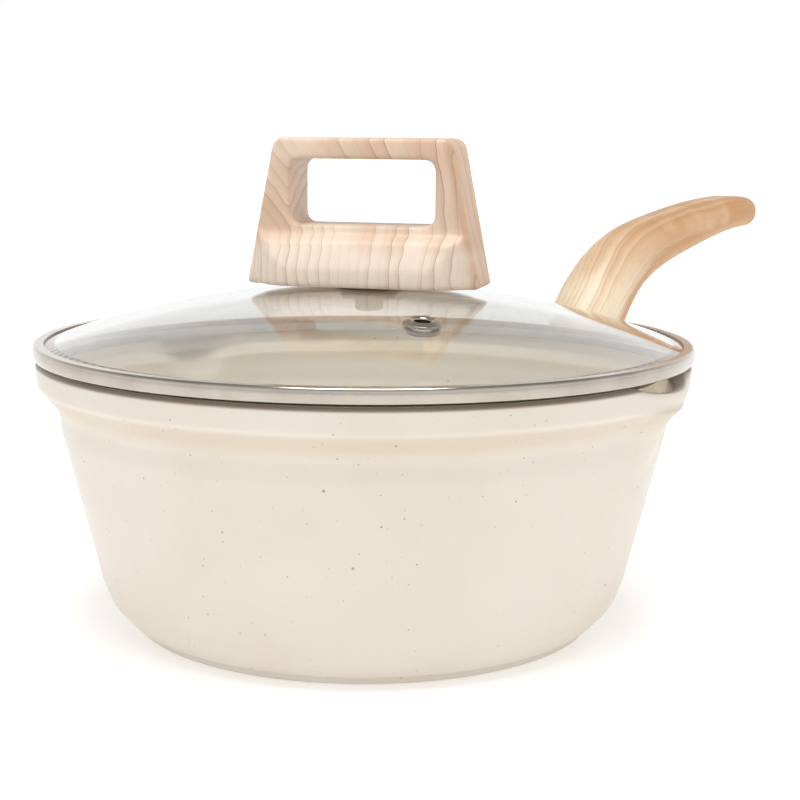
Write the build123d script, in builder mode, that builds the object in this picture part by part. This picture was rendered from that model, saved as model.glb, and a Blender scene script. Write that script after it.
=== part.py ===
from build123d import *
from math import asin, cos, radians, sin, sqrt
import os

# Saucepan with a domed glass lid, in millimetres. The origin is the centre of the base, on the
# table; +Z is up, +X points along the side handle, and the two pouring spouts face about +Y and -Y.

# ---- pan: cast aluminium -------------------------------------------------------------------
rim_height = 83.8          # top of the rim above the table
rim_r = 102.2              # outside of the thick rim band
mouth_r = 95.8             # inside of the rim band
rim_fillet = 1.8           # outer top edge of the rim band
foot_r = 72.6              # outside of the foot ring
wall_low = (83.5, 16.0)    # outside of the wall, radius and height, where the bottom corner ends
wall_high = (94.6, 62.0)   # outside of the wall, under the rim band
wall_t = 3.1
floor_z = 5.6
boss_face_x = 101.0        # flat outer face of the cast handle boss
boss_size = (30.0, 30.0)   # width and height of the boss
boss_z = 58.0
stud_r = 2.4               # the two screws that hold the bracket on the boss
stud_gap = 18.0            # height between them
stud_depth = 7.0           # how far they reach into the boss

spout_azimuth = 80.0       # each spout, measured from the handle
spout_depth = 3.8          # how far the rim dips
spout_width = 46.0         # width of the dip at rim height
funnel_low_z = 56.0        # where the spout's bulge fades into the wall
funnel_low = (78.0, 14.5)  # distance from the axis and radius of the bulge at its foot
funnel_top = (82.0, 24.2)  # the same at rim height
channel_low_z = 62.0       # foot of the channel inside the spout
channel_low = (78.0, 12.5)
channel_top = (81.5, 20.8)

# ---- induction plate, pressed into the base --------------------------------------------------
plate_r = 62.0
plate_t = 0.8
plate_hole_r = 1.6

# ---- lid -------------------------------------------------------------------------------------
lid_gap = 0.3              # air between the lid's ring and the rim
ring_r = 103.0
ring_height = 4.8
ring_t = 0.6
ring_tuck = 0.5            # how far the ring's lower edge is rolled up
bead_r = 94.6              # outside of the locating bead that drops into the mouth
bead_depth = 3.2
glass_r = 100.6
glass_t = 3.0
apex_z = 105.4             # top of the glass
glass_edge_z = 88.0        # outer face of the glass at radius 100
dome_span = 100.0
lid_turn = -67.0           # the knob's long side, measured from the handle
knob_centre = (0.75, -0.93)   # the knob is pushed to one side by the play of its screw in the glass
vent_azimuth = -125.0
vent_r = 58.0              # distance of the steam vent from the axis
vent_bore_r = 2.3

# ---- knob: a trapezoid loop on a crowned base ---------------------------------------------------
knob_bottom_z = apex_z + 0.3
knob_top_z = 151.2
knob_half_low = 37.3
knob_half_high = 28.3
loop_depth = 20.0
base_half_length = 35.2
base_half_depth = 17.0
window_half = 23.2
window_corner = 3.2
knob_corner = 3.6
window_top_z = 144.7
crown_z = 124.6            # top of the base inside the loop
ridge = (14.2, 119.2)      # front edge of the crown, depth and height
skirt_z = 111.5

# ---- side handle ---------------------------------------------------------------------------------
guard_x = (101.2, 110.0)
# Sections of the grip from root to tip: x, z, slope in degrees, width, thickness.
grip_sections = [
    (104.0, 60.0, 12.0, 25.0, 30.0),
    (124.0, 71.5, 42.0, 25.0, 29.5),
    (139.5, 88.5, 46.0, 24.5, 28.0),
    (156.0, 101.8, 30.0, 24.0, 24.5),
    (180.0, 110.2, 14.0, 23.0, 20.0),
    (206.0, 115.2, 10.0, 22.5, 17.0),
    (234.0, 119.2, 6.0, 21.5, 14.4),
    (252.0, 120.3, 0.0, 20.0, 13.2),
    (262.3, 119.6, -5.0, 17.0, 11.2),
]
grip_end_fillet = 4.2
tongue_slope = 33.0
tongue_size = (14.0, 4.0, 27.0)    # width, thickness and length
screw_r = 2.0
screw_reach = 16.0                 # from the plate to the handle screw, along the tongue

ring_bottom_z = rim_height + lid_gap
ring_top_z = ring_bottom_z + ring_height
dome_rise = apex_z - glass_edge_z
dome_R = (dome_span**2 + dome_rise**2) / (2 * dome_rise)
dome_centre_z = apex_z - dome_R
inner_R = dome_R - glass_t
glass_under_z = apex_z - glass_t


def dome_z(r, sphere_r):
    """Height of a sphere about the dome's centre, at radius r from the axis."""
    return dome_centre_z + sqrt(sphere_r**2 - r**2)


def radial_plane(azimuth, r, z):
    """Upright plane at radius r whose normal points outwards; its y axis is up."""
    a = radians(azimuth)
    return Plane(origin=(r * cos(a), r * sin(a), z), x_dir=(-sin(a), cos(a), 0), z_dir=(cos(a), sin(a), 0))


def grip_plane(x, z, slope):
    """Plane across the handle; its x axis is the handle's width and its y axis its thickness."""
    a = radians(slope)
    return Plane(origin=(x, 0, z), x_dir=(0, 1, 0), z_dir=(cos(a), 0, sin(a)))


def finish(piece, label):
    """Name the piece and write it to its own file."""
    piece.part.label = label
    export_step(piece.part, f"parts/{label}.step")


os.makedirs("parts", exist_ok=True)

knob_plane = Plane(origin=knob_centre, x_dir=(cos(radians(lid_turn)), sin(radians(lid_turn)), 0), z_dir=(0, 0, 1))
knob_front = Plane(
    origin=knob_centre,
    x_dir=(cos(radians(lid_turn)), sin(radians(lid_turn)), 0),
    z_dir=(sin(radians(lid_turn)), -cos(radians(lid_turn)), 0),
)
knob_side = Plane(
    origin=knob_centre,
    x_dir=(sin(radians(lid_turn)), -cos(radians(lid_turn)), 0),
    z_dir=(-cos(radians(lid_turn)), -sin(radians(lid_turn)), 0),
)
vent_tilt = asin(vent_r / dome_R)
vent_dir = (
    sin(vent_tilt) * cos(radians(vent_azimuth)),
    sin(vent_tilt) * sin(radians(vent_azimuth)),
    cos(vent_tilt),
)
vent_top = tuple(d * dome_R + c for d, c in zip(vent_dir, (0, 0, dome_centre_z)))
vent_plane = Plane(origin=vent_top, z_dir=vent_dir)

# ---- pan body --------------------------------------------------------------------------------
with BuildPart() as pan_body:
    with BuildSketch(Plane.XZ):
        with BuildLine():
            Polyline((0, floor_z), (0, plate_t), (plate_r + 0.1, plate_t), (plate_r + 0.1, 0), (foot_r, 0))
            Line((foot_r, 0), (foot_r + 0.6, 2.3))
            Line((foot_r + 0.6, 2.3), (75.6, 3.0))
            ThreePointArc((75.6, 3.0), (80.45, 8.95), wall_low)
            Line(wall_low, wall_high)
            FilletPolyline(
                wall_high, (95.4, 69.0), (101.6, 76.6), (rim_r, rim_height), (90.0, rim_height),
                radius=[8.0, 1.8, rim_fillet],
            )
            Polyline((90.0, rim_height), (0, rim_height), (0, floor_z))
        make_face()
    revolve(axis=Axis.Z)
    for side in (1, -1):
        a = radians(side * spout_azimuth)
        for height, (away, radius) in ((funnel_low_z, funnel_low), (rim_height, funnel_top)):
            with BuildSketch(Plane.XY.offset(height)):
                with Locations((away * cos(a), away * sin(a))):
                    Circle(radius)
        loft()
    with BuildSketch(Plane.YZ.offset(boss_face_x)):
        with Locations((0, boss_z)):
            RectangleRounded(boss_size[0], boss_size[1], 6.0)
    extrude(amount=-30.0)
    with BuildSketch(Plane.XZ):
        with BuildLine():
            FilletPolyline(
                (0, floor_z), (wall_low[0] - wall_t - 3.6, floor_z), (wall_high[0] - wall_t, wall_high[1]),
                (wall_high[0] - wall_t + 1.4, 73.0), (mouth_r - 0.4, 77.0), (mouth_r, rim_height),
                radius=[16.0, 12.0, 3.0, 2.0],
            )
            Polyline((mouth_r, rim_height), (0, rim_height), (0, floor_z))
        make_face()
    revolve(axis=Axis.Z, mode=Mode.SUBTRACT)
    for side in (1, -1):
        a = radians(side * spout_azimuth)
        for height, (away, radius) in ((channel_low_z, channel_low), (rim_height, channel_top)):
            with BuildSketch(Plane.XY.offset(height)):
                with Locations((away * cos(a), away * sin(a))):
                    Circle(radius)
        loft(mode=Mode.SUBTRACT)
        dip_r = ((spout_width / 2) ** 2 + spout_depth**2) / (2 * spout_depth)
        with BuildSketch(radial_plane(side * spout_azimuth, 70.0, rim_height)):
            with Locations((0, dip_r - spout_depth)):
                Circle(dip_r)
        extrude(amount=50.0, mode=Mode.SUBTRACT)
    with BuildSketch(Plane.YZ.offset(boss_face_x)):
        with Locations((0, boss_z - stud_gap / 2), (0, boss_z + stud_gap / 2)):
            Circle(stud_r + 0.05)
    extrude(amount=-stud_depth - 0.5, mode=Mode.SUBTRACT)
finish(pan_body, "pan_body")

with BuildPart() as induction_plate:
    with BuildSketch():
        Circle(plate_r)
        for ring_of_holes, count in ((14.0, 8), (28.0, 16), (42.0, 24), (55.0, 32)):
            with PolarLocations(ring_of_holes, count):
                Circle(plate_hole_r, mode=Mode.SUBTRACT)
    extrude(amount=plate_t)
finish(induction_plate, "induction_plate")

# ---- handle bracket, its screws and flame guard --------------------------------------------------
bracket_t = 2.5
plate_front_x = boss_face_x + bracket_t
tongue_plane = grip_plane(plate_front_x - 0.4, boss_z - 1.0, tongue_slope)
with BuildPart() as handle_bracket:
    with BuildSketch(Plane.YZ.offset(boss_face_x)):
        with Locations((0, boss_z)):
            RectangleRounded(18.0, 28.0, 4.0)
        with Locations((0, boss_z - stud_gap / 2), (0, boss_z + stud_gap / 2)):
            Circle(stud_r + 0.05, mode=Mode.SUBTRACT)
    extrude(amount=bracket_t)
    with BuildSketch(tongue_plane):
        Rectangle(tongue_size[0], tongue_size[1])
    extrude(amount=tongue_size[2])
    screw_at = tongue_plane.origin + tongue_plane.z_dir * screw_reach
    screw_plane = Plane(origin=screw_at, x_dir=(0, 1, 0), z_dir=tongue_plane.y_dir)
    with BuildSketch(screw_plane.offset(-tongue_size[1])):
        Circle(screw_r + 0.05)
    extrude(amount=2 * tongue_size[1], mode=Mode.SUBTRACT)
finish(handle_bracket, "handle_bracket")

with BuildPart() as bracket_screws:
    for height in (boss_z - stud_gap / 2, boss_z + stud_gap / 2):
        with BuildSketch(Plane.XZ):
            with BuildLine():
                Polyline(
                    (boss_face_x - stud_depth, height), (boss_face_x - stud_depth, height + stud_r - 0.8),
                    (boss_face_x - stud_depth + 0.8, height + stud_r), (plate_front_x, height + stud_r),
                    (plate_front_x, height + 3.6), (plate_front_x + 1.4, height + 2.6),
                    (plate_front_x + 1.4, height), close=True,
                )
            make_face()
        revolve(axis=Axis((0, 0, height), (1, 0, 0)))
finish(bracket_screws, "bracket_screws")

guard_z = 62.0
with BuildPart() as flame_guard:
    with BuildSketch(Plane.YZ.offset(guard_x[0])):
        with Locations((0, guard_z - 3.0)):
            RectangleRounded(27.0, 32.0, 9.0)
    with BuildSketch(Plane.YZ.offset(guard_x[1])):
        with Locations((0, guard_z)):
            RectangleRounded(26.0, 32.0, 10.0)
    loft()
    with BuildSketch(Plane.YZ.offset(guard_x[0] - 0.1)):
        with Locations((0, guard_z - 3.0)):
            RectangleRounded(25.0, 30.0, 8.0)
    extrude(amount=guard_x[1] - guard_x[0] - 1.1, mode=Mode.SUBTRACT)
    with BuildSketch(Plane.YZ.offset(guard_x[0])):
        with Locations((0, guard_z)):
            Rectangle(tongue_size[0] + 0.6, 14.0)
    extrude(amount=20.0, mode=Mode.SUBTRACT)
finish(flame_guard, "flame_guard")

# ---- grip and its screw ----------------------------------------------------------------------------
with BuildPart() as handle_grip:
    for x, z, slope, width, thickness in grip_sections:
        with BuildSketch(grip_plane(x, z, slope)):
            RectangleRounded(width, thickness, 0.46 * min(width, thickness))
    loft()
    split(bisect_by=Plane.YZ.offset(guard_x[1] + 0.2), keep=Keep.TOP)
    fillet(handle_grip.faces().sort_by(Axis.X)[-1].edges(), grip_end_fillet)
    with BuildSketch(tongue_plane):
        Rectangle(tongue_size[0] + 0.4, tongue_size[1] + 0.4)
    extrude(amount=tongue_size[2] + 1.0, mode=Mode.SUBTRACT)
    with BuildSketch(screw_plane.offset(-30.0)):
        Circle(screw_r + 0.3)
    extrude(amount=30.0 + tongue_size[1] / 2 + 4.0, mode=Mode.SUBTRACT)
    with BuildSketch(screw_plane.offset(-9.0)):
        Circle(4.4)
    extrude(amount=-25.0, mode=Mode.SUBTRACT)
finish(handle_grip, "handle_grip")

with BuildPart() as handle_lock_washer:
    with BuildSketch(screw_plane.offset(-9.0)):
        Circle(3.9)
        Circle(screw_r + 0.2, mode=Mode.SUBTRACT)
    extrude(amount=-1.0)
finish(handle_lock_washer, "handle_lock_washer")

with BuildPart() as handle_screw:
    with BuildSketch(screw_plane.offset(-10.0)):
        Circle(3.7)
    extrude(amount=-2.4)
    with BuildSketch(screw_plane.offset(-10.0)):
        Circle(screw_r)
    extrude(amount=14.5)
    with BuildSketch(screw_plane.offset(-12.4)):
        Rectangle(4.4, 0.9)
        Rectangle(0.9, 4.4)
    extrude(amount=1.2, mode=Mode.SUBTRACT)
finish(handle_screw, "handle_screw")

# ---- lid: glass, ring and seal -------------------------------------------------------------------
glass_hole_r = 4.0
with BuildPart() as lid_glass:
    with BuildSketch(Plane.XZ):
        with BuildLine():
            edge_in = glass_r - glass_t * glass_r / dome_R
            ThreePointArc((0, apex_z), (glass_r / 2, dome_z(glass_r / 2, dome_R)), (glass_r, dome_z(glass_r, dome_R)))
            Line((glass_r, dome_z(glass_r, dome_R)), (edge_in, dome_z(edge_in, inner_R)))
            ThreePointArc(
                (edge_in, dome_z(edge_in, inner_R)), (edge_in / 2, dome_z(edge_in / 2, inner_R)),
                (0, glass_under_z),
            )
            Line((0, glass_under_z), (0, apex_z))
        make_face()
    revolve(axis=Axis.Z)
    with BuildSketch(Plane.XY.offset(apex_z - 10.0)):
        Circle(glass_hole_r)
    extrude(amount=20.0, mode=Mode.SUBTRACT)
    with BuildSketch(vent_plane.offset(-10.0)):
        Circle(vent_bore_r + 1.2)
    extrude(amount=20.0, mode=Mode.SUBTRACT)
finish(lid_glass, "lid_glass")

lip_r = 99.4
with BuildPart() as lid_ring:
    with BuildSketch(Plane.XZ):
        with BuildLine():
            FilletPolyline(
                (lip_r, ring_top_z), (ring_r - 0.4, ring_top_z), (ring_r, ring_bottom_z + ring_height / 2),
                (ring_r - 0.5, ring_bottom_z + ring_tuck), (ring_r - 2.4, ring_bottom_z),
                (bead_r, ring_bottom_z), (bead_r - 0.3, ring_bottom_z - bead_depth),
                (bead_r - 0.9, ring_bottom_z - bead_depth), (bead_r - 0.6, ring_bottom_z + ring_t),
                (ring_r - 2.6, ring_bottom_z + ring_t), (ring_r - 1.1, ring_bottom_z + ring_tuck + ring_t),
                (ring_r - 0.7, ring_bottom_z + ring_height / 2), (ring_r - 1.1, ring_top_z - ring_t),
                (lip_r, ring_top_z - ring_t),
                radius=[1.0, 4.0, 0.7, 1.0, 0.5, 0.2, 0.2, 0.9, 0.6, 0.3, 3.0, 0.4],
            )
            Line((lip_r, ring_top_z - ring_t), (lip_r, ring_top_z))
        make_face()
    revolve(axis=Axis.Z)
finish(lid_ring, "lid_ring")

with BuildPart() as ring_seal:
    with BuildSketch(Plane.XZ):
        with BuildLine():
            seal_out = ring_r - 1.6
            seal_in = bead_r + 0.8
            Polyline(
                (seal_in, ring_bottom_z + ring_t + 0.05), (ring_r - 3.0, ring_bottom_z + ring_t + 0.05),
                (seal_out, ring_bottom_z + ring_tuck + ring_t + 0.05),
                (seal_out, ring_top_z - ring_t), (glass_r, ring_top_z - ring_t),
                (glass_r, dome_z(glass_r, dome_R)), (edge_in, dome_z(edge_in, inner_R)),
                (seal_in, dome_z(seal_in, inner_R) - 0.02), close=True,
            )
        make_face()
    revolve(axis=Axis.Z)
finish(ring_seal, "ring_seal")

# ---- steam vent --------------------------------------------------------------------------------
with BuildPart() as vent_eyelet:
    tube_r = vent_bore_r + 0.9
    with BuildSketch(Plane.XZ):
        with BuildLine():
            FilletPolyline(
                (vent_bore_r, -glass_t - 1.4), (vent_bore_r, 1.1), (vent_bore_r + 1.2, 1.5), (5.6, 0.9),
                (5.6, 0.1), (tube_r, 0.1), (tube_r, -glass_t - 0.9), (4.7, -glass_t - 0.9),
                (4.7, -glass_t - 1.4), (vent_bore_r, -glass_t - 1.4),
                radius=[0.5, 0.6, 0.3, 0.1, 0.1, 0.1, 0.1, 0.1, 0.2],
            )
        make_face()
    revolve(axis=Axis.Z)
vent_eyelet.part = vent_plane * vent_eyelet.part
finish(vent_eyelet, "vent_eyelet")

with BuildPart() as vent_washer:
    with BuildSketch(vent_plane.offset(-glass_t - 0.1)):
        Circle(5.2)
        Circle(tube_r + 0.1, mode=Mode.SUBTRACT)
    extrude(amount=-0.7)
finish(vent_washer, "vent_washer")

# ---- knob, its insert and its fasteners ------------------------------------------------------------
insert_r = 4.2
insert_length = 11.0
with BuildPart() as lid_knob:
    with BuildSketch(knob_side):
        with BuildLine():
            depth, height = ridge
            Line((-base_half_depth, knob_bottom_z), (base_half_depth, knob_bottom_z))
            Polyline((base_half_depth, knob_bottom_z), (base_half_depth, skirt_z), (depth, height))
            ThreePointArc((depth, height), (0, crown_z), (-depth, height))
            Polyline((-depth, height), (-base_half_depth, skirt_z), (-base_half_depth, knob_bottom_z))
        make_face()
    extrude(amount=knob_half_low, both=True)
    with BuildSketch(knob_plane.offset(knob_bottom_z)):
        RectangleRounded(2 * base_half_length, 2 * base_half_depth, base_half_depth - 3.0)
    extrude(amount=crown_z - knob_bottom_z + 1.0, mode=Mode.INTERSECT)
    with BuildSketch(knob_front) as knob_outline:
        with BuildLine():
            FilletPolyline(
                (-knob_half_low, knob_bottom_z), (-knob_half_high, knob_top_z), (knob_half_high, knob_top_z),
                (knob_half_low, knob_bottom_z), radius=[knob_corner, knob_corner],
            )
            Line((knob_half_low, knob_bottom_z), (-knob_half_low, knob_bottom_z))
        make_face()
    extrude(amount=base_half_depth, both=True, mode=Mode.INTERSECT)
    extrude(knob_outline.sketch, amount=loop_depth / 2, both=True)
    with BuildSketch(knob_front):
        with Locations((0, (crown_z + window_top_z) / 2)):
            RectangleRounded(2 * window_half, window_top_z - crown_z, window_corner)
    extrude(amount=loop_depth, both=True, mode=Mode.SUBTRACT)
    with BuildSketch(knob_plane.offset(knob_bottom_z)):
        Circle(insert_r)
    extrude(amount=insert_length, mode=Mode.SUBTRACT)
finish(lid_knob, "lid_knob")

knob_screw_r = 2.4
with BuildPart() as knob_insert:
    with BuildSketch(knob_plane.offset(knob_bottom_z)):
        Circle(insert_r)
        Circle(knob_screw_r + 0.05, mode=Mode.SUBTRACT)
    extrude(amount=insert_length)
finish(knob_insert, "knob_insert")

# The stack on the knob's centre line, from above the glass to the screw's head: name, lowest height,
# thickness, outer radius and bore.
stack = [
    ("knob_pad", apex_z + 0.02, 0.26, 11.0, glass_hole_r),
    ("knob_seal", glass_under_z - 1.2, 1.0, 9.0, knob_screw_r + 0.1),
    ("knob_washer", glass_under_z - 2.2, 1.0, 8.6, knob_screw_r + 0.2),
    ("knob_lock_washer", glass_under_z - 3.2, 1.0, 4.4, knob_screw_r + 0.2),
]
for name, low, thickness, outer, bore in stack:
    with BuildPart() as ring_piece:
        with BuildSketch(knob_plane.offset(low)):
            Circle(outer)
            Circle(bore, mode=Mode.SUBTRACT)
        extrude(amount=thickness)
    finish(ring_piece, name)

head_z = glass_under_z - 3.2
with BuildPart() as knob_screw:
    with BuildSketch(knob_plane.offset(head_z)):
        Circle(4.5)
    extrude(amount=-2.7)
    fillet(knob_screw.faces().sort_by(Axis.Z)[0].edges(), 1.4)
    with BuildSketch(knob_plane.offset(head_z)):
        Circle(knob_screw_r)
    extrude(amount=knob_bottom_z + insert_length - 1.5 - head_z)
    with BuildSketch(knob_plane.offset(head_z - 2.7)):
        Rectangle(5.4, 1.0)
        Rectangle(1.0, 5.4)
    extrude(amount=1.4, mode=Mode.SUBTRACT)
finish(knob_screw, "knob_screw")
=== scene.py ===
"""Looks of a saucepan with a domed glass lid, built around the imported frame.

Everything is in metres in the frame's own axes: +Z up, +X towards the side handle, the origin in the
middle of the resting face. Sizes of the sub-assemblies are written in millimetres and scaled by MM.
"""

import logging
import math
from dataclasses import dataclass
from enum import Enum
from typing import ClassVar, Mapping, Sequence, Union

import bmesh
import bpy
from mathutils import Matrix, Vector


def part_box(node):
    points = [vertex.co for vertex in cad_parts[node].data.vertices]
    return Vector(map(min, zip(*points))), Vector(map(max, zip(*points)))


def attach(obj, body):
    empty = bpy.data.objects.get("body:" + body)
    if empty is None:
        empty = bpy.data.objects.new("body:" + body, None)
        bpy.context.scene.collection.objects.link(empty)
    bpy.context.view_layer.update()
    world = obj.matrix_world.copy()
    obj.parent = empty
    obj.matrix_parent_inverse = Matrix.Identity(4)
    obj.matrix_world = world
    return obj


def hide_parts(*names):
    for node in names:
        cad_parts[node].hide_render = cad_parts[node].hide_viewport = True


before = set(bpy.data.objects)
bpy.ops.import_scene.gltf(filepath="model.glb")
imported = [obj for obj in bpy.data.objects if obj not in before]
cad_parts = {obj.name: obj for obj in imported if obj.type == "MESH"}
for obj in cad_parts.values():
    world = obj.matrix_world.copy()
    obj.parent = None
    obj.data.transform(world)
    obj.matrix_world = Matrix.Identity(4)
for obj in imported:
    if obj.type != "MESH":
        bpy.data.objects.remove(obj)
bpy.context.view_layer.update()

MM = 0.001

Colour = tuple[float, float, float, float]
Point2 = tuple[float, float]
Number = Union["Value", float]

log = logging.getLogger("saucepan")


def srgb(red: int, green: int, blue: int) -> Colour:
    """Linear colour of an 8-bit display colour.

    Args:
        red: red from 0 to 255.
        green: green from 0 to 255.
        blue: blue from 0 to 255.

    Returns:
        The linear colour with full opacity.
    """
    channels = [c / 255.0 for c in (red, green, blue)]
    linear = [c / 12.92 if c <= 0.04045 else ((c + 0.055) / 1.055) ** 2.4 for c in channels]
    return (linear[0], linear[1], linear[2], 1.0)


def smoothstep(low: float, high: float, x: float) -> float:
    """Smooth step from 0 at low to 1 at high."""
    t = min(1.0, max(0.0, (x - low) / (high - low)))
    return t * t * (3.0 - 2.0 * t)


def soft_max(a: float, b: float, width: float) -> float:
    """Greater of two lengths, rounded over a width where they are close."""
    h = max(width - abs(a - b), 0.0) / width
    return max(a, b) + h * h * width / 4.0


# ---- node trees ---------------------------------------------------------------------------------


@dataclass(frozen=True)
class Value:
    """A node's output with arithmetic: each operator adds its Math node to the tree."""

    shader: "Shader"
    socket: bpy.types.NodeSocket

    def math(self, operation: str, *others: Number, clamped: bool = False) -> "Value":
        """A Math node on this value.

        Args:
            operation: the Math node's operation.
            others: its further operands.
            clamped: whether the result is kept within 0 and 1.

        Returns:
            The node's output.
        """
        settings = {"operation": operation, "use_clamp": clamped}
        return self.shader.node("ShaderNodeMath", settings, dict(enumerate((self, *others))))

    def __add__(self, other: Number) -> "Value":
        """Sum."""
        return self.math("ADD", other)

    __radd__ = __add__

    def __mul__(self, other: Number) -> "Value":
        """Product."""
        return self.math("MULTIPLY", other)

    __rmul__ = __mul__

    def __sub__(self, other: Number) -> "Value":
        """Difference."""
        return self.math("SUBTRACT", other)

    def __rsub__(self, other: float) -> "Value":
        """Difference from a number."""
        return self.shader.node("ShaderNodeMath", {"operation": "SUBTRACT"}, {0: other, 1: self})

    def __truediv__(self, other: Number) -> "Value":
        """Quotient."""
        return self.math("DIVIDE", other)

    def output(self, name: str) -> "Value":
        """Another output of the same node."""
        return Value(self.shader, self.socket.node.outputs[name])

    def floor(self) -> "Value":
        """Whole part."""
        return self.math("FLOOR")

    def fract(self) -> "Value":
        """Part after the point."""
        return self.math("FRACT")

    def clamp(self) -> "Value":
        """The value kept within 0 and 1."""
        return self.math("ADD", 0.0, clamped=True)

    def step(self, low: float, high: float) -> "Value":
        """Smooth step from 0 at low to 1 at high.

        Args:
            low: value where the step starts.
            high: value where it ends; it may be below low for a falling step.

        Returns:
            The stepped value.
        """
        settings = {"interpolation_type": "SMOOTHSTEP", "clamp": True}
        ends = {"Value": self, "From Min": low, "From Max": high, "To Min": 0.0, "To Max": 1.0}
        if low > high:
            ends.update({"From Min": high, "From Max": low, "To Min": 1.0, "To Max": 0.0})
        return self.shader.node("ShaderNodeMapRange", settings, ends)


class Shader:
    """The node tree of one material or of the world."""

    def __init__(self, name: str, owner: bpy.types.World | None = None) -> None:
        """Starts an empty tree.

        Args:
            name: name of the new material.
            owner: the world that gets the tree instead of a new material.
        """
        self.owner = owner or bpy.data.materials.new(name)
        self.owner.use_nodes = True
        self.tree = self.owner.node_tree
        self.tree.nodes.clear()

    def node(
        self,
        kind: str,
        settings: Mapping[str, object] | None = None,
        inputs: Mapping[str | int, object] | None = None,
        output: str | int = 0,
    ) -> Value:
        """Adds a node.

        Args:
            kind: the node's type.
            settings: its properties, or "points" for a curve's (x, y) pairs.
            inputs: a value or a link for each named or numbered socket.
            output: the socket that is returned.

        Returns:
            The output socket as a value.
        """
        made = self.tree.nodes.new(kind)
        for key, setting in (settings or {}).items():
            if key == "points":
                points = made.mapping.curves[0].points
                while len(points) < len(setting):
                    points.new(1.0, 1.0)
                for point, place in zip(points, setting):
                    point.location = place
                made.mapping.update()
            else:
                setattr(made, key, setting)
        for key, given in (inputs or {}).items():
            if isinstance(given, Value):
                self.tree.links.new(given.socket, made.inputs[key])
            else:
                made.inputs[key].default_value = given
        return Value(self, made.outputs[output])

    def place(self) -> Value:
        """Coordinates fixed to the piece, in metres."""
        return self.node("ShaderNodeTexCoord", output="Object")

    def along(self, vector: Value, direction: Sequence[float]) -> Value:
        """Component of a vector along a direction."""
        inputs = {0: vector, 1: tuple(direction)}
        return self.node("ShaderNodeVectorMath", {"operation": "DOT_PRODUCT"}, inputs, "Value")

    def height(self, vector: Value) -> Value:
        """Component of a vector along the Z axis."""
        return self.along(vector, (0.0, 0.0, 1.0))

    def scaled(self, vector: Value, factors: Sequence[float]) -> Value:
        """A vector multiplied axis by axis."""
        return self.node("ShaderNodeVectorMath", {"operation": "MULTIPLY"}, {0: vector, 1: tuple(factors)})

    def vector(self, x: Number, y: Number, z: Number) -> Value:
        """A vector of three values."""
        return self.node("ShaderNodeCombineXYZ", inputs={0: x, 1: y, 2: z})

    def radius(self, vector: Value) -> Value:
        """Distance from the Z axis."""
        flat = self.scaled(vector, (1.0, 1.0, 0.0))
        return self.node("ShaderNodeVectorMath", {"operation": "LENGTH"}, {0: flat}, "Value")

    def noise(self, vector: Value, size: float, detail: float = 2.0, distortion: float = 0.0) -> Value:
        """Noise with features of a given size.

        Args:
            vector: coordinates in metres.
            size: feature size in metres.
            detail: octaves.
            distortion: how far the noise warps itself.

        Returns:
            A value between 0 and 1.
        """
        sockets = {"Vector": vector, "Scale": 1.0 / size, "Detail": detail, "Distortion": distortion}
        return self.node("ShaderNodeTexNoise", inputs=sockets)

    def mix(self, factor: Number, first: object, second: object) -> Value:
        """Colour between two colours."""
        settings = {"data_type": "RGBA", "clamp_factor": True}
        return self.node("ShaderNodeMix", settings, {0: factor, 6: first, 7: second}, 2)

    def bump(self, height: Value, depth: float, strength: float = 1.0) -> Value:
        """Normal from a height.

        Args:
            height: a value from 0 to 1.
            depth: how deep 1 stands above 0, in metres.
            strength: share of the effect.

        Returns:
            The normal.
        """
        return self.node("ShaderNodeBump", inputs={"Strength": strength, "Distance": depth, "Height": height})

    def principled(self, **sockets: object) -> Value:
        """Principled surface; a socket's name is written with _ for each space."""
        named = {key.replace("_", " "): given for key, given in sockets.items()}
        return self.node("ShaderNodeBsdfPrincipled", inputs=named)

    def finish(self, surface: Value, kind: str = "ShaderNodeOutputMaterial") -> bpy.types.Material:
        """Ends the tree with a surface.

        Args:
            surface: the shader of the surface.
            kind: type of the output node.

        Returns:
            The material or the world that owns the tree.
        """
        end = self.tree.nodes.new(kind)
        self.tree.links.new(surface.socket, end.inputs["Surface"])
        return self.owner


# ---- finishes -----------------------------------------------------------------------------------


@dataclass(frozen=True)
class Specks:
    """One size of stone chips in the coat, sizes in millimetres."""

    spacing: float
    size: float
    share: float
    tone: Colour


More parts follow.
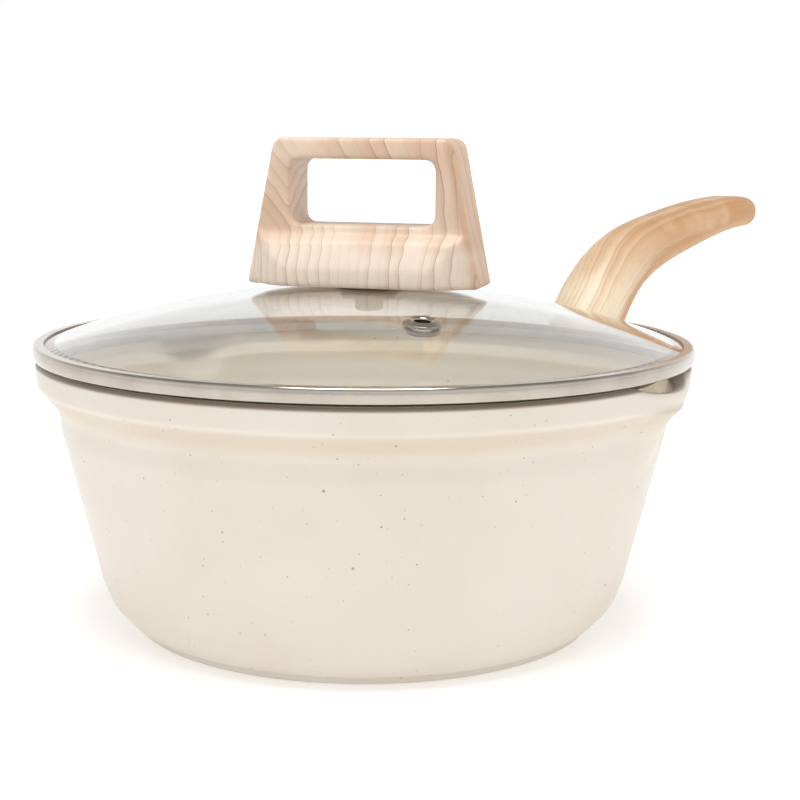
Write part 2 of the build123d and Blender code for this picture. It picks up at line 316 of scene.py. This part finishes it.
@dataclass(frozen=True)
class GraniteCoat:
    """Satin cream ceramic coat with sparse brown chips, with painted shade in the crease under the rim band
    and a painted shadow line on the rim's outer edge.
    """

    cream: Colour = srgb(218, 210, 198)
    warm: Colour = srgb(215, 205, 191)
    layers: tuple[Specks, ...] = (
        Specks(5.0, 0.62, 0.65, srgb(172, 108, 46)),
        Specks(3.4, 0.44, 0.6, srgb(196, 138, 74)),
        Specks(8.0, 1.1, 0.8, srgb(180, 106, 40)),
        Specks(2.2, 0.25, 0.5, srgb(170, 138, 98)),
    )
    # Colour of the painted shade in the crease under the rim band.
    painted_crease_shade: Colour = srgb(184, 164, 132)
    # Colour of the painted shadow line on the rim's outer edge, under the lid's ring.
    edge: Colour = srgb(104, 80, 54)

    def build(self) -> bpy.types.Material:
        """Makes the material.

        Returns:
            The material.
        """
        s = Shader("granite_coat")
        place = s.place()
        colour = s.mix(s.noise(place, 40 * MM, 3.0).step(0.3, 0.7), self.cream, self.warm)
        chips: Value | None = None
        for layer in self.layers:
            mask = self.chips(s, place, layer)
            colour = s.mix(mask * 0.85, colour, layer.tone)
            chips = mask if chips is None else chips.math("MAXIMUM", mask)
        # Painted shade: the coat is darkened in the crease under the rim band.
        colour = s.mix(self.painted_crease_shade_mask(s, place) * 0.45, colour, self.painted_crease_shade)
        # Painted shadow: the gap under the lid's ring is painted as a dark line on the rim's outer edge.
        colour = s.mix(self.painted_gap_shadow_mask(s, place) * 0.8, colour, self.edge)
        peel = s.noise(place, 1.6 * MM, 2.0) * 0.75 + s.noise(place, 0.3 * MM, 1.0) * 0.25
        return s.finish(s.principled(
            Base_Color=colour,
            Roughness=s.noise(place, 9 * MM, 3.0) * 0.12 + 0.34 + chips * 0.12,
            Specular_IOR_Level=0.5,
            Normal=s.bump(peel + chips * 0.3, 0.035 * MM, 0.5),
        ))

    @staticmethod
    def chips(s: Shader, place: Value, layer: Specks) -> Value:
        """Where the chips of one size are.

        Args:
            s: the material's tree.
            place: coordinates on the piece.
            layer: the size of the chips.

        Returns:
            A mask, 1 on a chip.
        """
        cells = s.node("ShaderNodeTexVoronoi", inputs={"Vector": place, "Scale": 1.0 / (layer.spacing * MM)})
        chance = s.node("ShaderNodeSeparateColor", inputs={"Color": cells.output("Color")})
        rough_edge = s.noise(place, 0.35 * MM, 1.0) * 0.4 + 0.8
        size = (chance * 0.8 + 0.45) * (layer.size * MM)
        away = cells * (layer.spacing * MM) * rough_edge
        present = chance.step(1.02 - layer.share, 1.0 - layer.share)
        return ((size - away) / (0.25 * layer.size * MM)).clamp() * present

    @staticmethod
    def painted_crease_shade_mask(s: Shader, place: Value) -> Value:
        """Mask of the crease under the rim band, where shade is painted into the coat's colour."""
        high = s.height(place)
        return high.step(67 * MM, 72.5 * MM) * high.step(76.5 * MM, 74.5 * MM)

    @staticmethod
    def painted_gap_shadow_mask(s: Shader, place: Value) -> Value:
        """Mask of the rim's outer edge, where the shadow of the gap under the lid's ring is painted."""
        below_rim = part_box("pan_body")[1].z - s.height(place)
        return below_rim.step(1.7 * MM, 0.8 * MM) * s.radius(place).step(100.6 * MM, 101.3 * MM)


class Grain(Enum):
    """How the grain of the wood-look print runs."""

    KNOB = "slanting across the loop, upright on the base"
    GRIP = "along the curved grip"


@dataclass(frozen=True)
class WoodPrint:
    """Pale wood-look print under a thin satin lacquer."""

    grain: Grain
    pale: Colour
    tan: Colour
    line: Colour
    ring_width: float
    contrast: float

    def build(self) -> bpy.types.Material:
        """Makes the material.

        Returns:
            The material.
        """
        s = Shader("wood_print_" + self.grain.name.lower())
        place = s.place()
        across = self.knob_grain(s, place) if self.grain is Grain.KNOB else self.grip_grain(s, place)
        wobble = s.noise(place, 26 * MM, 2.0) * 1.8 + s.noise(place, 5 * MM, 1.0) * 0.14
        rings = across / (self.ring_width * MM) + wobble
        number = rings.floor()
        part = rings.fract()
        chance = s.node("ShaderNodeTexWhiteNoise", {"noise_dimensions": "1D"}, {"W": number})
        late = part.step(0.35, 0.97) * part.step(1.0, 0.95)
        fine = part.step(0.89, 0.95) * part.step(1.0, 0.965)
        fibres = s.noise(s.vector(across * 60.0, s.along(place, (3.0, 2.0, 3.0)), 0.0), 0.02, 2.0)
        cloud = s.noise(place, 30 * MM, 2.0).step(0.35, 0.65)
        # The tone takes in painted shade on one side of the knob and on the grip's underside.
        tone = cloud * 0.4 + chance * 0.25 + self.print_tone_and_painted_shade(s, place)
        colour = s.mix(tone, self.pale, self.tan)
        colour = s.mix(late * (0.03 + chance * 0.2), colour, self.line)
        colour = s.mix(fine * (0.02 + chance * self.contrast), colour, self.line)
        colour = s.mix(fibres.step(0.5, 0.75) * 0.16, colour, self.line)
        return s.finish(s.principled(
            Base_Color=colour,
            Roughness=0.40 + fibres * 0.12,
            Specular_IOR_Level=0.45,
            Coat_Weight=0.12,
            Coat_Roughness=0.25,
            Normal=s.bump(fibres * 0.5 + fine * -0.5, 0.03 * MM, 0.6),
        ))

    def print_tone_and_painted_shade(self, s: Shader, place: Value) -> Value:
        """How much darker the wood-look colour is along the piece, with painted shade on one side of the knob
        and on the grip's underside.

        Args:
            s: the material's tree.
            place: coordinates on the piece.

        Returns:
            A value that grows from the knob's foot to its loop, or from the grip's root to its tip, plus
            painted shade on one side of the knob and on the grip's underside.
        """
        if self.grain is Grain.KNOB:
            high = Knob.high(s, place)
            # Painted shade: one side of the knob, across the loop's width, is darkened.
            side = (Knob.wide(s, place) + high * 0.2).step(35 * MM, 39 * MM)
            return high.step(9 * MM, 16 * MM) * 0.6 + side * 0.8 - 0.4
        # Painted shade: the grip is darkened on its underside, below its middle line.
        underside = self.above_spine(s, place).step(-1 * MM, -8 * MM)
        reach = s.along(place, (1.0, 0.0, 0.0))
        return reach.step(105 * MM, 215 * MM) * 0.9 + underside * 0.9 - 0.25

    @staticmethod
    def knob_grain(s: Shader, place: Value) -> Value:
        """Distance across the grain on the knob, in metres.

        Args:
            s: the material's tree.
            place: coordinates on the piece.

        Returns:
            The distance, whose level lines are the grain.
        """
        turn = math.radians(Knob.turn)
        wide = Knob.wide(s, place)
        slant = wide.step(40 * MM, -38 * MM) * 0.9 + 0.1
        deep = s.along(place, (math.sin(turn), -math.cos(turn), 0.0))
        above_ledge = (Knob.high(s, place) - 12 * MM).math("MAXIMUM", 0.0)
        return wide + slant * (above_ledge - 33 * MM) + deep * 0.6

    @staticmethod
    def grip_grain(s: Shader, place: Value) -> Value:
        """Distance across the grain on the grip, in metres.

        Args:
            s: the material's tree.
            place: coordinates on the piece.

        Returns:
            The distance, whose level lines are the grain.
        """
        return WoodPrint.above_spine(s, place) * 0.55 + s.along(place, (0.02, 0.9, 0.0))

    @staticmethod
    def above_spine(s: Shader, place: Value) -> Value:
        """Height above the middle line of the grip, in metres.

        Args:
            s: the material's tree.
            place: coordinates on the piece.

        Returns:
            The height, below 0 on the underside.
        """
        low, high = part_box("handle_grip")
        reach = (s.along(place, (1.0, 0.0, 0.0)) - low.x) / (high.x - low.x)
        points = [(share, height / Grip.spine_scale) for share, height in Grip.spine]
        curve = s.node("ShaderNodeFloatCurve", {"points": points}, {"Value": reach})
        return s.height(place) - curve * (Grip.spine_scale * MM)


class Lines(Enum):
    """How the fine lines on a metal piece run."""

    AROUND = "around the Z axis"
    NONE = "tumbled, without a direction"


@dataclass(frozen=True)
class Metal:
    """Bare metal with fine lines, a varying polish and slight handling marks."""

    name: str
    tint: Colour
    worn: Colour
    roughness: float
    lines: Lines
    line_depth: float

    def build(self) -> bpy.types.Material:
        """Makes the material.

        Returns:
            The material.
        """
        s = Shader(self.name)
        place = s.place()
        if self.lines is Lines.AROUND:
            drift = s.along(place, (0.3, 0.2, 0.0))
            track = s.vector(s.radius(place) * 9.0, s.height(place) * 9.0, drift)
            marks = s.noise(track, 1.6 * MM, 3.0)
        else:
            marks = s.noise(place, 0.5 * MM, 3.0, 0.4)
        cloud = s.noise(place, 12 * MM, 3.0)
        return s.finish(s.principled(
            Base_Color=s.mix(cloud.step(0.35, 0.75) * 0.7 + marks * 0.25, self.tint, self.worn),
            Metallic=1.0,
            Roughness=(cloud * 0.35 + marks * 0.35 + 0.65) * self.roughness,
            Normal=s.bump(marks, self.line_depth * MM, 0.5),
        ))


@dataclass(frozen=True)
class ClearGlass:
    """Tempered glass with a faint green body, a slight roller wave and a breath of smudges."""

    body: Colour = srgb(254, 255, 253)
    shade: Colour = srgb(253, 254, 252)

    def build(self) -> bpy.types.Material:
        """Makes the material.

        Returns:
            The material.
        """
        s = Shader("tempered_glass")
        place = s.place()
        smudge = s.noise(place, 28 * MM, 3.0, 0.6).step(0.55, 0.8)
        wave = s.noise(place, 60 * MM, 1.0)
        glass = s.principled(
            Base_Color=self.body,
            Transmission_Weight=1.0,
            IOR=1.52,
            Roughness=smudge * 0.02,
            Normal=s.bump(wave, 0.05 * MM, 0.3),
        )
        lamp = s.node("ShaderNodeLightPath", output="Is Shadow Ray")
        clear = s.node("ShaderNodeBsdfTransparent", inputs={"Color": self.shade})
        return s.finish(s.node("ShaderNodeMixShader", inputs={0: lamp, 1: glass, 2: clear}))


@dataclass(frozen=True)
class Silicone:
    """Taupe food-grade silicone, faintly mottled and dusty."""

    tint: Colour = srgb(112, 94, 72)
    dust: Colour = srgb(138, 120, 96)

    def build(self) -> bpy.types.Material:
        """Makes the material.

        Returns:
            The material.
        """
        s = Shader("silicone_rubber")
        place = s.place()
        cloud = s.noise(place, 5 * MM, 3.0)
        return s.finish(s.principled(
            Base_Color=s.mix(cloud.step(0.3, 0.8), self.tint, self.dust),
            Roughness=cloud * 0.2 + 0.5,
            Subsurface_Weight=0.15,
            Subsurface_Scale=1.5 * MM,
            Normal=s.bump(s.noise(place, 0.8 * MM, 2.0), 0.02 * MM, 0.5),
        ))


@dataclass(frozen=True)
class FloorPaint:
    """Plain pale studio floor, lit from below more strongly far away, with a barely visible mottle."""

    pale: Colour = (0.94, 0.94, 0.94, 1.0)
    mottle: Colour = (0.92, 0.92, 0.92, 1.0)
    glow_near: Colour = (0.53, 0.53, 0.53, 1.0)
    glow_far: Colour = (1.0, 1.0, 1.0, 1.0)

    def build(self) -> bpy.types.Material:
        """Makes the material.

        Returns:
            The material.
        """
        s = Shader("studio_floor")
        place = s.place()
        cloud = s.noise(place, 0.5, 2.0)
        return s.finish(s.principled(
            Base_Color=s.mix(cloud, self.pale, self.mottle),
            Roughness=cloud * 0.1 + 0.6,
            Specular_IOR_Level=0.2,
            Emission_Color=s.mix(s.radius(place).step(0.3, 1.6), self.glow_near, self.glow_far),
            Emission_Strength=0.6,
        ))


@dataclass
class Finishes:
    """Every material of the object, made once."""

    def __post_init__(self) -> None:
        """Builds the materials."""
        self.coat = GraniteCoat().build()
        self.knob_wood = WoodPrint(
            Grain.KNOB, srgb(240, 222, 203), srgb(206, 170, 139), srgb(150, 106, 76), 5.0, 0.55
        ).build()
        self.grip_wood = WoodPrint(
            Grain.GRIP, srgb(234, 215, 186), srgb(190, 140, 88), srgb(146, 96, 54), 1.9, 0.34
        ).build()
        self.polished = Metal(
            "polished_steel_ring", srgb(188, 180, 169), srgb(172, 164, 152), 0.14, Lines.AROUND, 0.006
        ).build()
        self.steel = Metal(
            "satin_steel", srgb(205, 203, 198), srgb(178, 176, 172), 0.34, Lines.NONE, 0.012
        ).build()
        self.plate = Metal(
            "spun_plate_steel", srgb(198, 197, 194), srgb(168, 166, 162), 0.38, Lines.AROUND, 0.02
        ).build()
        self.brass = Metal(
            "turned_brass", srgb(206, 172, 98), srgb(176, 140, 74), 0.28, Lines.AROUND, 0.01
        ).build()
        self.glass = ClearGlass().build()
        self.silicone = Silicone().build()
        self.floor = FloorPaint().build()


# ---- mesh helpers -------------------------------------------------------------------------------


def rounded_path(points: Sequence[Point2], radii: Sequence[float], step: float) -> list[Point2]:
    """A line through points with its inner corners rounded by arcs.

    Args:
        points: the corners, the two ends included.
        radii: one radius per inner corner.
        step: longest chord along an arc.

    Returns:
        The points of the rounded line.
    """
    path = [points[0]]
    for before, corner, after, radius in zip(points, points[1:], points[2:], radii):
        c = Vector(corner)
        to_a = (Vector(before) - c).normalized()
        to_b = (Vector(after) - c).normalized()
        half = to_a.angle(to_b) / 2.0
        if radius <= 0.0 or half > math.radians(89.0):
            path.append(corner)
            continue
        centre = c + (to_a + to_b).normalized() * (radius / math.sin(half))
        start = c + to_a * (radius / math.tan(half)) - centre
        end = c + to_b * (radius / math.tan(half)) - centre
        sweep = start.angle_signed(end)
        count = max(3, math.ceil(abs(sweep) * radius / step))
        for i in range(count + 1):
            turn = -sweep * i / count
            spun = Matrix.Rotation(turn, 2) @ start
            path.append((centre.x + spun.x, centre.y + spun.y))
    path.append(points[-1])
    return path


def divided(path: Sequence[Point2], longest: float) -> list[Point2]:
    """The same line with no run longer than a length.

    Args:
        path: points of the line.
        longest: longest run that stays whole.

    Returns:
        The points of the divided line.
    """
    out = [path[0]]
    for a, b in zip(path, path[1:]):
        count = max(1, math.ceil(math.dist(a, b) / longest))
        for i in range(1, count + 1):
            out.append((a[0] + (b[0] - a[0]) * i / count, a[1] + (b[1] - a[1]) * i / count))
    return out


def keep_creases(bm: bmesh.types.BMesh, angle: float) -> None:
    """Shades a mesh smooth except over its creases.

    Args:
        bm: the mesh.
        angle: smallest angle of a crease, in degrees.
    """
    for face in bm.faces:
        face.smooth = True
    for edge in bm.edges:
        if len(edge.link_faces) == 2:
            edge.smooth = edge.calc_face_angle(0.0) < math.radians(angle)


def object_of(bm: bmesh.types.BMesh, name: str, material: bpy.types.Material) -> bpy.types.Object:
    """Turns a bmesh into a linked object.

    Args:
        bm: the mesh, which is freed.
        name: name of the object.
        material: its only material.

    Returns:
        The object.
    """
    mesh = bpy.data.meshes.new(name)
    bm.to_mesh(mesh)
    bm.free()
    mesh.materials.append(material)
    made = bpy.data.objects.new(name, mesh)
    bpy.context.scene.collection.objects.link(made)
    return made


def settle(made: bpy.types.Object, body: str, node: str) -> None:
    """Ties a piece to the frame.

    Args:
        made: the piece.
        body: the body that it rides on.
        node: the frame node that it stands for.
    """
    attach(made, body)
    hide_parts(node)
    log.info("%s: %d faces, rides on %s, stands for %s", made.name, len(made.data.polygons), body, node)


def dress(material: bpy.types.Material, *nodes: str) -> None:
    """Gives frame nodes a material.

    Args:
        material: the material.
        nodes: names of the frame nodes.
    """
    for node in nodes:
        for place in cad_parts[node].material_slots:
            place.material = material
        log.info("%s: dressed in %s", node, material.name)


# ---- sub-assemblies -----------------------------------------------------------------------------


@dataclass(frozen=True)
class Funnel:
    """Widening round throat of a pouring spout, in millimetres."""

    low_z: float
    centre: float
    radius: float
    shift: float
    growth: float

    def reach(self, offset: float, z: float, rim_z: float) -> float:
        """Distance of the throat's wall from the pan's axis.

        Args:
            offset: angle from the spout's middle, in radians.
            z: height.
            rim_z: height of the rim, where the throat is widest.

        Returns:
            The distance in that direction, or 0 where the throat isn't met.
        """
        share = (z - self.low_z) / (rim_z - self.low_z)
        if share <= 0.0:
            return 0.0
        centre = self.centre + self.shift * share
        spare = (self.radius + self.growth * share) ** 2 - (centre * math.sin(offset)) ** 2
        return centre * math.cos(offset) + math.sqrt(spare) if spare > 0.0 else 0.0


@dataclass
class Pan:
    """The coated pan with its rim band, two pouring spouts and handle boss, in millimetres."""

    finishes: Finishes
    foot_r: float = 72.6
    recess_r: float = 62.1
    recess: float = 0.8
    floor_z: float = 5.6
    wall_low: Point2 = (83.5, 16.0)
    wall_high: Point2 = (94.6, 62.0)
    wall_t: float = 3.1
    rim_r: float = 102.2
    mouth_r: float = 95.8
    spout_azimuth: float = 80.0
    spout_depth: float = 3.8
    spout_width: float = 46.0
    spout_reach: float = 16.0
    spout_blend: float = 1.6
    spout_half_angle: float = 30.0
    outer_funnel: Funnel = Funnel(56.0, 78.0, 14.5, 4.0, 9.7)
    inner_funnel: Funnel = Funnel(62.0, 78.0, 12.5, 3.5, 8.3)
    funnel_blend: float = 3.0
    boss_x: float = 101.0
    boss_half: float = 15.0
    boss_z: float = 58.0
    boss_corner: float = 6.0
    boss_half_angle: float = 14.0
    outer_run_longest: float = 1.6
    inner_run_longest: float = 1.8
    base_run_longest: float = 9.0
    hub_r: float = 3.0

    def __post_init__(self) -> None:
        """Takes the rim's height from the frame."""
        self.rim_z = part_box("pan_body")[1].z / MM

    def outer_line(self) -> list[Point2]:
        """Profile from the foot up to the rim's outer edge, without its top edge's rounding.

        Returns:
            Radius and height of each point.
        """
        foot = rounded_path(
            [(self.foot_r, 0.0), (self.foot_r + 0.7, 2.3), (75.6, 3.0), (80.6, 8.4), self.wall_low],
            [0.7, 0.8, 7.0], 0.5,
        )
        band = rounded_path(
            [self.wall_low, self.wall_high, (95.4, 69.0), (101.6, 76.6), (self.rim_r, self.rim_z)],
            [14.0, 8.0, 2.4], 0.5,
        )
        return foot[:-1] + band

    def inner_line(self) -> list[Point2]:
        """Profile from the rim's inner edge down to the middle of the floor.

        Returns:
            Radius and height of each point.
        """
        top_r = self.wall_high[0] - self.wall_t
        low_r = self.wall_low[0] - self.wall_t - 3.6
        return rounded_path(
            [(self.mouth_r, self.rim_z), (self.mouth_r - 0.4, 77.0), (top_r + 1.4, 73.0),
             (top_r, self.wall_high[1]), (low_r, self.floor_z), (0.0, self.floor_z)],
            [2.0, 3.0, 12.0, 16.0], 0.8,
        )

    def rows(self) -> list[tuple[float, float, float]]:
        """Rows of the skin from the middle of the base over the rim to the middle of the floor.

        Returns:
            Radius, height and share of the outer skin's shift for each row.
        """
        base = divided([(self.hub_r, self.recess), (self.recess_r, self.recess)], self.base_run_longest)
        base += [(self.recess_r + 0.15, 0.15), (self.recess_r + 0.4, 0.0)]
        base += [(67.0, 0.0), (self.foot_r - 0.4, 0.0)]
        outer = divided(self.outer_line(), self.outer_run_longest)
        inner = divided(self.inner_line(), self.inner_run_longest)
        outer_top, inner_top = outer[-1], inner[0]
        top = rounded_path([outer[-3], outer_top, inner_top, inner[1]], [1.7, 1.0], 0.25)[1:-1]
        skin = [(r, z, 1.0) for r, z in base + outer[:-3]]
        width = outer_top[0] - inner_top[0]
        skin += [(r, z, min(1.0, max(0.0, (r - inner_top[0]) / width))) for r, z in top]
        skin += [(r, z, 0.0) for r, z in inner[2:-1] if r > self.hub_r]
        return skin

    def columns(self) -> list[float]:
        """Azimuths of the columns, closer together round the boss and the spouts.

        Returns:
            The azimuths in degrees.
        """
        azimuths: list[float] = []
        at = -180.0
        while at < 180.0 - 1e-6:
            azimuths.append(at)
            near_spout = abs(abs(at + 0.5) - self.spout_azimuth) < 26.0
            at += 0.4 if abs(at + 0.2) < 12.0 else 0.75 if near_spout else 1.5
        return azimuths

    def dipped(self, z: float, across: float) -> float:
        """Height of a row lowered into a spout's dip.

        Args:
            z: height of the row away from the spouts.
            across: distance from the spout's middle.

        Returns:
            The lowered height.
        """
        bend = ((self.spout_width / 2) ** 2 + self.spout_depth**2) / (2 * self.spout_depth)
        cut = bend - math.sqrt(bend**2 - min(abs(across), bend * 0.9) ** 2)
        drop = soft_max(self.spout_depth - cut, 0.0, self.spout_blend)
        return z - drop * smoothstep(self.rim_z - self.spout_reach, self.rim_z, z)

    def skin_point(self, row: tuple[float, float, float], azimuth: float) -> Vector:
        """Place of one point of the skin.

        Args:
            row: radius, height and share of the outer skin's shift.
            azimuth: azimuth in degrees.

        Returns:
            The place in metres.
        """
        r, z, share = row
        nearest = self.spout_azimuth if azimuth > 0.0 else -self.spout_azimuth
        offset = math.radians(azimuth - nearest)
        if z > 50.0 and abs(offset) < math.radians(self.spout_half_angle):
            low = self.dipped(z, 100.0 * math.sin(offset))
            grown = 0.0
            for weight, line, funnel in (
                (share, self.outer_run, self.outer_funnel),
                (1.0 - share, self.inner_run, self.inner_funnel),
            ):
                if weight > 0.0:
                    plain = self.plain_radius(low, line)
                    throat = funnel.reach(offset, low, self.rim_z)
                    grown += weight * (soft_max(plain, throat, self.funnel_blend) - plain)
            r, z = r + grown, low
        angle = math.radians(azimuth)
        x, y = r * math.cos(angle), r * math.sin(angle)
        if share == 1.0 and abs(azimuth) < self.boss_half_angle and 36.0 < z < 78.0:
            dy = abs(y) - (self.boss_half - self.boss_corner)
            dz = abs(z - self.boss_z) - (self.boss_half - self.boss_corner)
            edge = math.hypot(max(dy, 0.0), max(dz, 0.0)) + min(max(dy, dz), 0.0) - self.boss_corner
            raised = 1.0 - smoothstep(-1.2, 1.6, edge)
            x = max(x, x + (self.boss_x - x) * raised)
        return Vector((x, y, z)) * MM

    @staticmethod
    def plain_radius(z: float, line: Sequence[Point2]) -> float:
        """Radius of a skin at a height where there is no spout.

        Args:
            z: height.
            line: radius and height of the skin's points, from below.

        Returns:
            The radius.
        """
        for (r0, z0), (r1, z1) in zip(line, line[1:]):
            if z0 <= z <= z1:
                return r0 + (r1 - r0) * (z - z0) / max(z1 - z0, 1e-6)
        return line[-1][0]

    def build(self) -> None:
        """Builds the skin and dresses the plate."""
        self.outer_run = self.outer_line()
        self.inner_run = [p for p in reversed(self.inner_line()) if p[1] > self.floor_z]
        bm = bmesh.new()
        rings = [[bm.verts.new(self.skin_point(row, a)) for a in self.columns()] for row in self.rows()]
        for lower, upper in zip(rings, rings[1:]):
            for i in range(len(lower)):
                j = (i + 1) % len(lower)
                bm.faces.new((lower[i], lower[j], upper[j], upper[i]))
        for ring, height in ((rings[0], self.recess), (rings[-1], self.floor_z)):
            middle = bm.verts.new((0.0, 0.0, height * MM))
            for i in range(len(ring)):
                bm.faces.new((ring[i], ring[(i + 1) % len(ring)], middle))
        bmesh.ops.recalc_face_normals(bm, faces=bm.faces)
        keep_creases(bm, 50.0)
        settle(object_of(bm, "pan_shell", self.finishes.coat), "pan", "pan_body")
        dress(self.finishes.plate, "induction_plate")


@dataclass
class Grip:
    """The side handle: its bracket, screws, flame guard and wood-look grip."""

    finishes: Finishes
    # Height that stands for 1 in the curve of the middle line, in millimetres.
    spine_scale: ClassVar[float] = 130.0
    # Share of the grip's reach and height of its middle line in millimetres.
    spine: ClassVar[tuple[Point2, ...]] = (
        (0.0, 60.0), (0.09, 72.0), (0.19, 89.0), (0.29, 101.8), (0.44, 110.2), (0.61, 115.2), (0.79, 119.2),
        (0.93, 120.7), (1.0, 120.6),
    )

    def build(self) -> None:
        """Dresses the pieces of the handle."""
        dress(self.finishes.grip_wood, "handle_grip")
        dress(self.finishes.polished, "flame_guard")
        dress(self.finishes.steel, "handle_bracket", "bracket_screws", "handle_lock_washer", "handle_screw")


@dataclass
class Lid:
    """The glass dome with its ring, seal and steam vent."""

    finishes: Finishes

    def build(self) -> None:
        """Dresses the pieces of the lid."""
        dress(self.finishes.glass, "lid_glass")
        dress(self.finishes.polished, "lid_ring", "vent_eyelet")
        dress(self.finishes.silicone, "ring_seal")
        dress(self.finishes.steel, "vent_washer")


@dataclass
class Knob:
    """The loop knob and the stack that holds it on the glass."""

    finishes: Finishes
    voxel: float = 0.55
    rounding: int = 26
    turn: ClassVar[float] = -67.0

    @staticmethod
    def high(s: Shader, place: Value) -> Value:
        """Height above the knob's underside, in metres."""
        return s.height(place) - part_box("lid_knob")[0].z

    @classmethod
    def wide(cls, s: Shader, place: Value) -> Value:
        """Distance along the loop's width, in metres."""
        turn = math.radians(cls.turn)
        return s.along(place, (math.cos(turn), math.sin(turn), 0.0))

    def build(self) -> None:
        """Builds the loop with soft edges and dresses the fasteners."""
        block = bpy.data.objects.new("knob_block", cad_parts["lid_knob"].data.copy())
        bpy.context.scene.collection.objects.link(block)
        remesh = block.modifiers.new("even_skin", "REMESH")
        remesh.mode = "VOXEL"
        remesh.voxel_size = self.voxel * MM
        softened = block.modifiers.new("rubbed_edges", "SMOOTH")
        softened.factor = 0.5
        softened.iterations = self.rounding
        graph = bpy.context.evaluated_depsgraph_get()
        mesh = bpy.data.meshes.new_from_object(block.evaluated_get(graph))
        bpy.data.objects.remove(block)
        bm = bmesh.new()
        bm.from_mesh(mesh)
        bpy.data.meshes.remove(mesh)
        keep_creases(bm, 60.0)
        settle(object_of(bm, "knob_loop", self.finishes.knob_wood), "lid", "lid_knob")
        dress(self.finishes.brass, "knob_insert")
        dress(self.finishes.silicone, "knob_pad", "knob_seal")
        dress(self.finishes.steel, "knob_washer", "knob_lock_washer", "knob_screw")


@dataclass(frozen=True)
class Softbox:
    """A square lamp aimed at the object, in degrees, metres and watts."""

    name: str
    azimuth: float
    away: float
    height: float
    size: float
    power: float

    def hang(self, target: Vector) -> None:
        """Makes the lamp.

        Args:
            target: the point that it is aimed at.
        """
        data = bpy.data.lights.new(self.name, "AREA")
        data.size = self.size
        data.energy = self.power
        lamp = bpy.data.objects.new(self.name, data)
        bpy.context.scene.collection.objects.link(lamp)
        turn = math.radians(self.azimuth)
        lamp.location = (self.away * math.cos(turn), self.away * math.sin(turn), self.height)
        lamp.rotation_euler = (target - lamp.location).to_track_quat("-Z", "Y").to_euler()
        lamp.visible_transmission = False


@dataclass
class Studio:
    """Floor, light and camera."""

    finishes: Finishes
    floor_radii: tuple[float, ...] = (0.15, 0.4, 1.0, 2.5, 6.0, 14.0, 40.0)
    floor_sides: int = 96
    floor_drop: float = 0.0002
    lamps: tuple[Softbox, ...] = (
        Softbox("key_softbox", -185.0, 1.1, 1.2, 0.9, 0.4),
        Softbox("fill_softbox", -95.0, 1.3, 0.9, 0.9, 0.3),
        Softbox("top_softbox", -141.0, 0.25, 1.3, 0.7, 12.0),
    )
    aim: tuple[float, float, float] = (0.0, 0.0, 0.07)
    lens: float = 71.59
    front: float = math.radians(-141.0)
    tent_low: float = 1.12
    tent_fall: float = 0.75
    front_fall: float = 0.06
    row_turn: float = -51.0
    height: float = 0.1525972
    stand_off: float = 0.5
    pitch: float = 0.16607129
    yaw: float = 0.022421514
    roll: float = 0.008639897

    def build(self) -> None:
        """Sets up the whole studio."""
        self.lay_floor()
        self.light_world()
        self.light_lamps()
        self.place_camera()

    def lay_floor(self) -> None:
        """Lays a large round floor."""
        bm = bmesh.new()
        turns = [math.tau * i / self.floor_sides for i in range(self.floor_sides)]
        rings: list[list[bmesh.types.BMVert]] = []
        for radius in self.floor_radii:
            rings.append([bm.verts.new((radius * math.cos(t), radius * math.sin(t), 0.0)) for t in turns])
        bm.faces.new(rings[0])
        for inner, outer in zip(rings, rings[1:]):
            for i in range(self.floor_sides):
                j = (i + 1) % self.floor_sides
                bm.faces.new((inner[i], outer[i], outer[j], inner[j]))
        floor = object_of(bm, "studio_floor", self.finishes.floor)
        floor.location.z = -self.floor_drop

    def light_world(self) -> None:
        """Surrounds the object with a white tent whose light falls off towards the top."""
        world = bpy.data.worlds.new("light_tent")
        bpy.context.scene.world = world
        s = Shader("light_tent", world)
        towards = s.node("ShaderNodeTexCoord", output="Generated")
        upper = s.height(towards).step(0.05, 0.85)
        facing = s.along(towards, (math.cos(self.front), math.sin(self.front), 0.0)).step(0.2, 0.9)
        tent = self.tent_low - upper * self.tent_fall - facing * self.front_fall
        seen = s.node("ShaderNodeLightPath", output="Is Camera Ray")
        strength = seen + (1.0 - seen) * tent
        light = s.node("ShaderNodeBackground", inputs={"Color": (1.0, 1.0, 1.0, 1.0), "Strength": strength})
        s.finish(light, "ShaderNodeOutputWorld")

    def light_lamps(self) -> None:
        """Hangs the softboxes."""
        for lamp in self.lamps:
            lamp.hang(Vector(self.aim))

    def place_camera(self) -> None:
        """Puts the camera at its viewing angle."""
        yaw, pitch, roll = self.yaw, self.pitch, self.roll
        right = Vector((math.cos(yaw), -math.sin(yaw), 0.0))
        ahead = Vector((math.sin(yaw) * math.cos(pitch), math.cos(yaw) * math.cos(pitch), -math.sin(pitch)))
        up = right.cross(ahead)
        turned = Matrix.Rotation(math.radians(self.row_turn), 4, "Z")
        side = right * math.cos(roll) + up * math.sin(roll)
        top = up * math.cos(roll) - right * math.sin(roll)
        axes = Matrix((side, top, -ahead)).transposed().to_4x4()
        data = bpy.data.cameras.new("camera")
        data.lens = self.lens
        data.sensor_width = 36.0
        data.clip_end = 100.0
        camera = bpy.data.objects.new("camera", data)
        bpy.context.scene.collection.objects.link(camera)
        stand = Matrix.Translation((0.0, -self.stand_off, self.height))
        camera.matrix_world = turned @ stand @ axes
        bpy.context.scene.camera = camera
        bpy.context.scene.view_settings.view_transform = "Standard"


def main() -> None:
    """Builds every sub-assembly in order and logs the pieces as they are made and dressed."""
    logging.basicConfig(level=logging.INFO, format="%(name)s: %(message)s")
    finishes = Finishes()
    for assembly in (Studio(finishes), Pan(finishes), Grip(finishes), Lid(finishes), Knob(finishes)):
        assembly.build()
        log.info("%s done", type(assembly).__name__)


if __name__ == "__main__":
    main()
